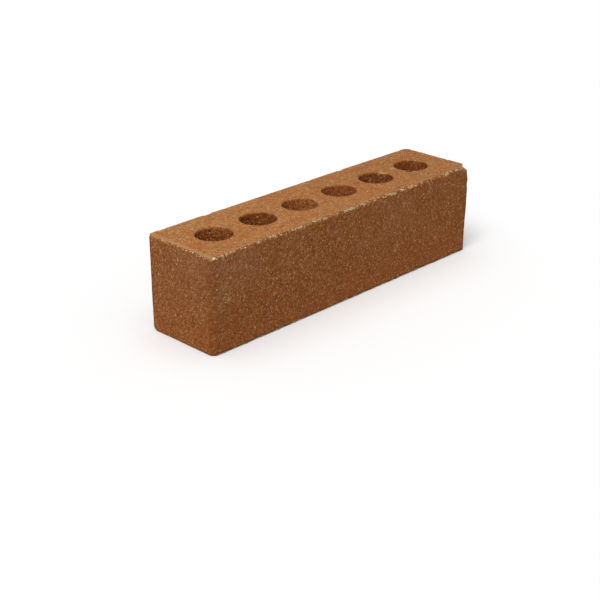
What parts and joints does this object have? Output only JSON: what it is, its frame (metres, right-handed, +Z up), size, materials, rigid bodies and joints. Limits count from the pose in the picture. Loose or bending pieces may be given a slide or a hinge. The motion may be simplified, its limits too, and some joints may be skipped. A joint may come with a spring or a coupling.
{
  "type": "facing brick",
  "caption": "Narrow fired-clay facing brick with rounded upright arrises and one row of round perforations running from bed to bed.",
  "frame": {"origin": "centre of the lower bed, the face the brick is laid on", "axes": "+X along the length, +Y across the bed from the seen stretcher face to the back one, +Z up through the course height"},
  "size_m": [0.25, 0.06, 0.065],
  "materials": {
    "fired_clay": "matte"
  },
  "bodies": {
    "root": {"brick": "fired_clay"}
  },
  "joints": []
}
